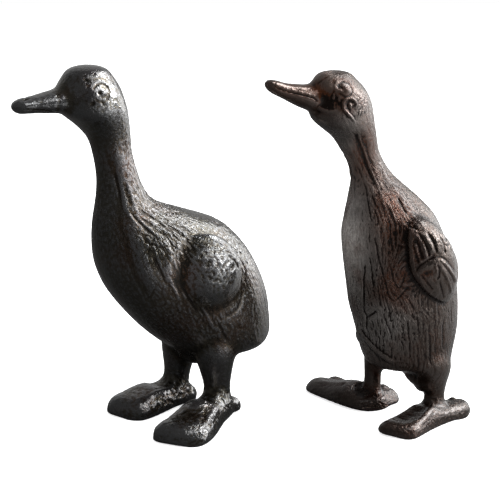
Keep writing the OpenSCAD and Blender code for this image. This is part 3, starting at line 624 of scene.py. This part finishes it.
def reliefMarks(skin):  # where the relief tree puts feathers, and which way they run
    bird = skin.bird
    neckFrom, neckTo = 112, 128
    a, s, z = skin.points.T
    turn = girthTurn(bird, skin.points) + np.sign(s) * spotted(bird["knots"], skin.points)
    (billRoot, billFade), (thigh, thighFade) = bird["bare"]
    feathered = ease(z, thigh - thighFade / 2, thigh + thighFade / 2)
    feathered = np.where(z > headFrom, feathered * ease(a, billRoot, billRoot - billFade), feathered)
    share, spots = bird["plumage"]
    density = np.full(len(z), share)
    for place, size, more in spots:
        density += more * patch(skin.points, place, size)
    mark(skin.mesh, "plumage", feathered * np.clip(density, 0.05, 1.2))
    mark(skin.mesh, "crumple", spotted(bird["crumple"], skin.points))
    mark(skin.mesh, "neck", ease(z, neckFrom, neckTo))
    mark(skin.mesh, "flow", np.stack([np.cos(turn), np.sin(turn), 0.8 * z + 0.5 * a], axis=1))


def reliefTree():  # feather dabs, long grooves, crumpling and casting grain, all along the skin's normal
    tree = bpy.data.node_groups.new("castRelief", "GeometryNodeTree")
    face = tree.interface
    face.new_socket("Geometry", in_out="INPUT", socket_type="NodeSocketGeometry")
    names = list(stout["relief"])
    for name in names:
        face.new_socket(name, in_out="INPUT", socket_type="NodeSocketFloat")
    face.new_socket("Material", in_out="INPUT", socket_type="NodeSocketMaterial")
    face.new_socket("Geometry", in_out="OUTPUT", socket_type="NodeSocketGeometry")
    g = Graph(tree)
    entry = tree.nodes.new("NodeGroupInput")
    given = {name: Wire(g, entry.outputs[name]) for name in names + ["Geometry", "Material"]}

    def marked(name, kind="FLOAT"):
        return g.make("GeometryNodeInputNamedAttribute", {"data_type": kind}, {"Name": name}, "Attribute")

    def vector(x, y, z):
        return g.make("ShaderNodeCombineXYZ", inputs={"X": x, "Y": y, "Z": z})

    def noise(place, detail, seed):
        return g.make("ShaderNodeTexNoise", {"noise_dimensions": "4D"},
                      {"Vector": place, "W": seed, "Scale": 1.0, "Detail": detail, "Roughness": 0.55})

    def scaled(way, scale):
        return g.make("ShaderNodeVectorMath", {"operation": "SCALE"}, {0: way, "Scale": scale})

    def sized(way, size):  # counted in lengths of that size
        return g.make("ShaderNodeVectorMath", {"operation": "DIVIDE"}, {0: way, 1: vector(size, size, size)})

    place = scaled(g.make("GeometryNodeInputPosition"), 1000.0)  # in mm
    flow = marked("flow", "FLOAT_VECTOR")
    x, y, run = (g.make("ShaderNodeSeparateXYZ", inputs={0: flow}, out=axis) for axis in "XYZ")
    drift = (noise(scaled(place, 1 / 14), 1.0, given["Seed"]) - 0.5) * given["Wander"] * 4
    neck = marked("neck")

    def strips(radius, length, width):  # the flow, measured in strokes
        return vector((x * radius + drift) / width, (y * radius + drift) / width, run / length)

    def dabs(radius):
        spot = strips(radius, given["Feather Length"], given["Feather Width"])
        cells = {"Vector": spot, "Scale": 1.0}
        edge = g.make("ShaderNodeTexVoronoi", {"feature": "DISTANCE_TO_EDGE"}, cells, "Distance")
        own = g.make("ShaderNodeTexVoronoi", {"feature": "F1"}, cells, "Color")
        chance = g.make("ShaderNodeSeparateXYZ", inputs={0: own}, out="X")
        return g.step(edge, 0.0, 0.3) * (0.45 + chance * 0.55)

    def furrows(radius):
        spot = strips(radius, given["Groove Length"], given["Groove Width"])
        return g.step(noise(spot, 2.0, given["Seed"] + 3), 0.32, 0.62)

    def mixed(part):  # finer spacing round the neck than round the body
        body = part(given["Body Radius"])
        return body + (part(given["Neck Radius"]) - body) * neck

    grain = (noise(sized(place, given["Grain Size"]), 2.0, given["Seed"] + 7) - 0.5) * given["Grain Depth"] * 2
    folds = g.step(noise(sized(place, given["Crumple Size"]), 2.0, given["Seed"] + 9), 0.3, 0.7)
    folds = (folds - 0.5) * given["Crumple Depth"] * marked("crumple")
    feathers = (mixed(dabs) - 0.5) * given["Feather Depth"] + (mixed(furrows) - 0.6) * given["Groove Depth"]
    height = (feathers * marked("plumage") + folds + grain) * mm
    offset = scaled(g.make("GeometryNodeInputNormal"), height)
    raised = g.make("GeometryNodeSetPosition", inputs={"Geometry": given["Geometry"], "Offset": offset})
    real = g.make("GeometryNodeRealizeInstances", inputs={"Geometry": raised})
    coated = g.make("GeometryNodeSetMaterial", inputs={"Geometry": real, "Material": given["Material"]})
    g.make("NodeGroupOutput", inputs={"Geometry": coated})
    return tree


def reliefCast(skin, tree, material):  # runs the tree, and keeps its result as a plain mesh
    body = placed(skin.bird["name"], skin.mesh)
    relief = body.modifiers.new("relief", "NODES")
    relief.node_group = tree
    for item in tree.interface.items_tree:
        if item.in_out == "INPUT" and item.name in skin.bird["relief"]:
            relief[item.identifier] = float(skin.bird["relief"][item.name])
        elif item.name == "Material":
            relief[item.identifier] = material
    skin.mesh = settled(body)
    bpy.data.objects.remove(body)
    skin.points = skin.toBird(skin.read(skin.mesh.vertices, "co", 3))
    skin.refresh()
    print(skin.bird["name"], "relief done")


def highlightShadeStainMarks(skin):  # raised spots are painted bright as highlight, hollows dark as dark wax and painted shade; also stains and painted sheen patches
    fineRounds, broadRounds, broadHighlightShade = 8, 60, 0.6
    fine = ((skin.points - skin.spread(skin.points, fineRounds)) * skin.normals).sum(1)
    broad = ((skin.points - skin.spread(skin.points, broadRounds)) * skin.normals).sum(1)
    print(skin.bird["name"], "fine relief", fine.std().round(4), "broad relief", broad.std().round(4), "mm")
    mark(skin.mesh, "highlightAndShade", np.clip(0.5 + fine * skin.bird["highlightShadeGain"] + broad * broadHighlightShade, 0, 1))
    mark(skin.mesh, "stain", spotted(skin.bird["stains"], skin.points))
    mark(skin.mesh, "paintedSheen", spotted(skin.bird["paintedSheen"], skin.points))
    for name in ("crumple", "neck"):
        skin.mesh.attributes.remove(skin.mesh.attributes[name])


ironLooks = {  # colours, then scales in turns to a metre, and depths in mm
    # the raised-spot colour paints highlights, the hollow colour is dark wax plus painted shade, the pale patch colour
    # paints a sheen
    "stout": {
        "iron": (0.08, 0.072, 0.052, 1), "brown": (0.085, 0.045, 0.024, 1), "hollow": (0.024, 0.018, 0.012, 1),
        "ridgeHighlight": (0.28, 0.294, 0.32, 1), "ridgeHighlightShare": 0.47, "paintedSheen": (0.4, 0.4, 0.405, 1), "roughness": 0.19,
        "metallic": 0.95, "coat": 0.9, "coatRoughness": 0.13, "grain": 800.0, "grainDepth": 0.07, "worms": 500.0,
        "wormDepth": 0.6, "wormWaxAndShade": 0.05, "strands": (38, 38, 0.2), "wobble": 1.5, "lineDepth": 0.6, "lineWaxAndShade": 0.25,
        "footGrain": 0.15, "footDark": 0.05, "footCoat": 0.1},
    "upright": {
        "iron": (0.042, 0.027, 0.0195, 1), "brown": (0.085, 0.026, 0.009, 1), "hollow": (0.009, 0.004, 0.002, 1),
        "ridgeHighlight": (0.125, 0.108, 0.098, 1), "ridgeHighlightShare": 0.48, "paintedSheen": (0.78, 0.744, 0.713, 1), "roughness": 0.18,
        "metallic": 0.9, "coat": 0.34, "coatRoughness": 0.12, "grain": 900.0, "grainDepth": 0.05, "worms": 420.0,
        "wormDepth": 0.35, "wormWaxAndShade": 0.1, "strands": (26, 26, 0.2), "wobble": 4.0, "lineDepth": 2.0, "lineWaxAndShade": 0.9,
        "footGrain": 0.9, "footDark": 0.5, "footCoat": 0.3},
}


def ironFinish(name, look):  # waxed cast iron: fine feather lines and casting grain under a dark brown wash, with painted highlight, shade and sheen
    material, g = freshFinish(name)

    def marked(name, out="Fac"):
        return g.make("ShaderNodeAttribute", {"attribute_name": name}, out=out)

    def noise(place, scale, detail=2.0):
        return g.make("ShaderNodeTexNoise", inputs={
            "Vector": place, "Scale": scale, "Detail": detail, "Roughness": 0.6})

    def folded(value):  # 0 along the noise's middle, so that lines come out of it
        return g.make("ShaderNodeMath", {"operation": "ABSOLUTE"}, {0: value - 0.5})

    cloudScale, pitScale, wobbleScale = 45.0, 550.0, 70.0
    ankle, footTop = 16 * mm, 9 * mm
    spot = g.make("ShaderNodeTexCoord", out="Object")
    plumage, highlightAndShade, stain, paintedSheen = (marked(name) for name in ("plumage", "highlightAndShade", "stain", "paintedSheen"))
    clouds = noise(spot, cloudScale, 3.0)
    grain = noise(spot, look["grain"])
    feet = g.step(g.make("ShaderNodeSeparateXYZ", inputs={0: spot}, out="Z"), ankle, footTop)
    worms = folded(noise(spot, look["worms"], 1.0))
    wobble = g.make("ShaderNodeTexNoise", inputs={"Vector": spot, "Scale": wobbleScale, "Detail": 1.0}, out="Color")
    flow = marked("flow", "Vector")
    strands = g.make("ShaderNodeVectorMath", {"operation": "MULTIPLY"}, {0: flow, 1: look["strands"]})
    strands = g.make("ShaderNodeVectorMath", {"operation": "MULTIPLY_ADD"},
                     {0: wobble, 1: (look["wobble"],) * 3, 2: strands})
    lines = folded(noise(strands, 1.0))
    # hollows and groove bottoms darkened: dark wax plus painted shade
    grooveWaxAndShade = g.step(lines, 0.045, 0.0) * plumage * look["lineWaxAndShade"] + g.step(worms, 0.035, 0.0) * look["wormWaxAndShade"]
    hollow = g.make("ShaderNodeMath", {"operation": "MAXIMUM"}, {0: g.step(highlightAndShade, 0.48, 0.15), 1: grooveWaxAndShade})
    # raised spots painted bright: a painted highlight
    ridgeHighlight = g.step(highlightAndShade, 0.5, 0.9)
    patchy = g.step(clouds, 0.2, 0.5)
    # pale patches painted as a sheen
    colour = g.mix(paintedSheen * patchy, look["iron"], look["paintedSheen"])
    colour = g.mix(g.step(clouds, 0.45, 0.7) * 0.6 + stain * patchy, colour, look["brown"])
    colour = g.mix(hollow, colour, look["hollow"])
    colour = g.mix(ridgeHighlight * look["ridgeHighlightShare"], colour, look["ridgeHighlight"])
    colour = g.mix(feet * look["footDark"], colour, look["hollow"])
    roughness = look["roughness"] + (clouds - 0.5) * 0.16 + (grain - 0.5) * 0.1
    roughness = roughness + hollow * 0.08 - ridgeHighlight * 0.04 + paintedSheen * 0.14
    height = grain * look["grainDepth"] + noise(spot, pitScale, 3.0) * feet * look["footGrain"]
    height = height + worms * look["wormDepth"] + lines * plumage * look["lineDepth"]
    bump = g.make("ShaderNodeBump", inputs={"Height": height, "Distance": mm})
    shader = g.make("ShaderNodeBsdfPrincipled", inputs={
        "Base Color": colour, "Metallic": look["metallic"] - paintedSheen * 0.85 - stain * 0.4, "Roughness": roughness,
        "Normal": bump, "Coat Weight": look["coat"] + feet * look["footCoat"], "Coat Roughness": look["coatRoughness"]})
    g.make("ShaderNodeOutputMaterial", inputs={"Surface": shader})
    return material


def steelFinish():  # turned steel, dulled by handling
    material, g = freshFinish("fastenerSteel")
    spot = g.make("ShaderNodeTexCoord", out="Object")
    stains = g.make("ShaderNodeTexNoise", inputs={"Vector": spot, "Scale": 260.0, "Detail": 3.0})
    shader = g.make("ShaderNodeBsdfPrincipled", inputs={
        "Base Color": g.mix(stains, (0.3, 0.28, 0.26, 1), (0.48, 0.47, 0.46, 1)), "Metallic": 1.0,
        "Roughness": 0.3 + stains * 0.25})
    g.make("ShaderNodeOutputMaterial", inputs={"Surface": shader})
    return material


def ownFoot(skin):  # for points near the ground, the hand of the foot they belong to
    gaps = []
    for foot in skin.bird["feet"]:
        closed = rounded(foot["outline"] + foot["outline"][:1], 4)
        gap = np.full(len(skin.points), 1e9)
        for p in closed:
            gap = np.minimum(gap, np.linalg.norm(skin.points[:, :2] - p, axis=1))
        gaps.append(np.where(inside(closed[:-1], *skin.points[:, :2].T), 0, gap))
    return np.where(gaps[0] < gaps[1], 1, -1)


fasten = {  # radii of the holes, and heights and lengths, in mm
    "footTop": 16, "head": 4.75, "headHeight": 3.5, "shank": 2.75, "thread": 2.6, "dowel": 2.55,
    "overlap": 0.5, "spare": 1, "outside": 60,
}


def parted(skin, hand, half):  # one half of the casting with its whole foot, closed by its flat joint face
    bm = bmesh.new()
    bm.from_mesh(skin.mesh)
    bm.verts.ensure_lookup_table()
    low = skin.points[:, 2] < fasten["footTop"]
    others = np.where(low & (ownFoot(skin) != hand))[0]
    bmesh.ops.delete(bm, geom=[bm.verts[i] for i in others.tolist()], context="VERTS")
    top = fasten["footTop"] * mm
    faces = [f for f in bm.faces if all(v.co.z > top for v in f.verts)]
    geom = list({v for f in faces for v in f.verts}) + list({e for f in faces for e in f.edges}) + faces
    cut = bmesh.ops.bisect_plane(bm, geom=geom, plane_co=skin.home * mm, plane_no=skin.left * -hand,
                                 clear_outer=True, dist=1e-7)
    bmesh.ops.holes_fill(bm, edges=[e for e in cut["geom_cut"] if isinstance(e, bmesh.types.BMEdge)])
    mesh = bpy.data.meshes.new(f"{skin.bird['name']}_{half}_casting")
    bm.to_mesh(mesh)
    bm.free()
    mesh.materials.append(skin.mesh.materials[0])
    return mesh


def turned(bm, skin, place, profile):  # a round cutter along the left axis, from radius and distance pairs
    sides = 48
    rings = []
    for radius, left in profile:
        loop = []
        for t in np.linspace(0, 2 * math.pi, sides, endpoint=False):
            spot = np.array([place[0] + radius * math.cos(t), left, place[1] + radius * math.sin(t)])
            loop.append(bm.verts.new(skin.toWorld(spot)))
        rings.append(loop)
    for first, second in zip(rings, rings[1:]):
        for k in range(sides):
            bm.faces.new([first[k], first[k - 1], second[k - 1], second[k]])
    bm.faces.new(rings[0])
    bm.faces.new(rings[-1][::-1])


def drilled(skin, mesh, hand):  # the holes for the screws and the dowel
    overlap, spare = fasten["overlap"], fasten["spare"]
    bm = bmesh.new()
    for part in ("upper_screw", "lower_screw", "head_dowel"):
        points = skin.toBird(skin.read(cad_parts[f"{skin.bird['name']}_{part}"].data.vertices, "co", 3))
        first, last = points.min(0), points.max(0)
        place = (first + last)[[0, 2]] / 2
        if part == "head_dowel":
            profile = [(fasten["dowel"], -overlap * hand), (fasten["dowel"], (last[1] + spare) * hand)]
        elif hand == 1:
            profile = [(fasten["thread"], -overlap), (fasten["thread"], last[1] + spare)]
        else:
            seat = first[1] + fasten["headHeight"]
            profile = [(fasten["shank"], overlap), (fasten["shank"], seat),
                       (fasten["head"], seat), (fasten["head"], -fasten["outside"])]
        turned(bm, skin, place, profile)
    bmesh.ops.recalc_face_normals(bm, faces=bm.faces)
    cutter = placed("cutter", bpy.data.meshes.new("cutter"))
    bm.to_mesh(cutter.data)
    bm.free()
    body = placed("body", mesh)
    drill = body.modifiers.new("drill", "BOOLEAN")
    drill.operation = "DIFFERENCE"
    drill.solver = "MANIFOLD"
    drill.object = cutter
    done = settled(body)
    name = mesh.name
    for item in (cutter, body):
        bpy.data.meshes.remove(item.data)  # their objects go with them
    done.name = name
    done.shade_smooth()
    done.set_sharp_from_angle(angle=math.radians(75))
    return placed(done.name, done)


smoothing = {"skin": (70, 220), "melds": 30, "feet": (14, 30), "feetBelow": (18, 12)}  # rounds, and heights in mm
tree = reliefTree()
for bird in (stout, upright):
    skin = Skin(bird)
    skin.soften(*smoothing["skin"], np.ones(len(skin.points)))
    skin.tipRise(*bird["bill"])
    for leg in bird["legs"]:
        skin.legForm(*leg)
    for foot in bird["feet"]:
        skin.footForm(foot)
    skin.meld(bird["melds"], smoothing["melds"])
    skin.soften(*smoothing["feet"], ease(skin.points[:, 2], *smoothing["feetBelow"]))
    skin.ground()
    modelled(skin)
    reliefMarks(skin)
    iron = ironFinish(f"{bird['name']}Iron", ironLooks[bird["name"]])
    reliefCast(skin, tree, iron)
    skin.ground()
    highlightShadeStainMarks(skin)
    for hand, half in ((1, "left_half"), (-1, "right_half")):
        piece = drilled(skin, parted(skin, hand, half), hand)
        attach(piece, "root")
        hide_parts(f"{bird['name']}_{half}")
        print(piece.name, len(piece.data.polygons), "faces")

steel = steelFinish()
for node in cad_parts.values():
    node.data.materials.clear()
    node.data.materials.append(steel)
print("steel on", len(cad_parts), "nodes")

stage = {  # the floor's width and right edge in m, tones from 0 to 1, and the camera in mm
    "floor": 6.0, "floorSeen": 0.8, "floorGlow": 0.75, "floorLeft": 0.04, "floorRight": 0.4, "rightEdge": 0.4,
    "mirrorFront": 0.07, "mirrorBehind": 0.34, "behindFrom": 0.3, "behindTo": 0.95, "fill": 0.85,
    "eye": (-1.05, -736.9, 276.4), "aim": (-1.05, -9.15, 95.0), "lens": 102.6,
}
lamps = {  # place, aim, width and height in m, power in watts
    "rightWindow": ((1.3, 0.6, 1.25), (0, 0.6, 1.25), (3.0, 2.5), 60),
    "shoulderSoftbox": ((0.57, 0.35, 1.1), (0, 0, 0.1), (0.5, 0.4), 6),
    "sideSoftbox": ((0.9, 0.1, 0.6), (0, 0, 0.1), (0.4, 0.5), 8),
    "topSoftbox": ((0.42, -0.54, 1.1), (0, 0, 0.1), (0.7, 0.7), 2.5),
}


def grey(tone):
    return (tone, tone, tone, 1)


def facing(place, aim):  # the turn that points a lamp or the camera
    return (Vector(aim) - Vector(place)).to_track_quat("-Z", "Y").to_euler()


floorMesh = bpy.data.meshes.new("floor")
half = stage["floor"] / 2
floorMesh.from_pydata([(-half, -half, 0), (half, -half, 0), (half, half, 0), (-half, half, 0)], [], [(0, 1, 2, 3)])
floor = placed("floor", floorMesh)
floorPaint, graph = freshFinish("floorPaint")
seen = graph.make("ShaderNodeLightPath", out="Is Camera Ray")
across = graph.make("ShaderNodeSeparateXYZ", inputs={0: graph.make("ShaderNodeTexCoord", out="Object")}, out="X")
# what reflections and bounces see of the floor: painted shade on the left, lighter to the right
rightHand = graph.make("ShaderNodeMapRange", inputs={0: across, 1: 0.0, 2: stage["rightEdge"], 3: 0.0, 4: 1.0})
unseen = graph.mix(rightHand, grey(stage["floorLeft"]), grey(stage["floorRight"]))
matt = graph.make("ShaderNodeBsdfDiffuse", inputs={"Color": graph.mix(seen, unseen, grey(stage["floorSeen"]))})
glow = graph.make("ShaderNodeEmission", inputs={"Color": (1, 1, 1, 1), "Strength": seen * stage["floorGlow"]})
both = graph.make("ShaderNodeAddShader", inputs={0: matt, 1: glow})
graph.make("ShaderNodeOutputMaterial", inputs={"Surface": both})
floorMesh.materials.append(floorPaint)

world = bpy.data.worlds.new("studio")
scene.world = world
world.use_nodes = True
world.node_tree.nodes.clear()
graph = Graph(world.node_tree)
seen = graph.make("ShaderNodeLightPath", out="Is Camera Ray")
mirrored = graph.make("ShaderNodeLightPath", out="Is Glossy Ray")
way = graph.make("ShaderNodeTexCoord", out="Generated")
depthWay = graph.make("ShaderNodeVectorMath", {"operation": "DOT_PRODUCT"}, {0: way, 1: (0.0, 1.0, 0.0)}, out="Value")
behind = graph.make("ShaderNodeMapRange", inputs={
    0: depthWay, 1: stage["behindFrom"], 2: stage["behindTo"], 3: stage["mirrorFront"], 4: stage["mirrorBehind"]})
level = seen + mirrored * behind + (1 - seen) * (1 - mirrored) * stage["fill"]
backdrop = graph.make("ShaderNodeBackground", inputs={"Color": (1, 1, 1, 1), "Strength": level})
graph.make("ShaderNodeOutputWorld", inputs={"Surface": backdrop})

for name, (place, aim, size, power) in lamps.items():
    light = bpy.data.lights.new(name, "AREA")
    light.shape = "RECTANGLE"
    light.size, light.size_y = size
    light.energy = power
    lamp = placed(name, light)
    lamp.location = place
    lamp.rotation_euler = facing(place, aim)

cameraData = bpy.data.cameras.new("camera")
cameraData.lens = stage["lens"]
cameraData.sensor_width = 36
camera = placed("camera", cameraData)
camera.location = Vector(stage["eye"]) * mm
camera.rotation_euler = facing(stage["eye"], stage["aim"])
scene.camera = camera
print("stage set")
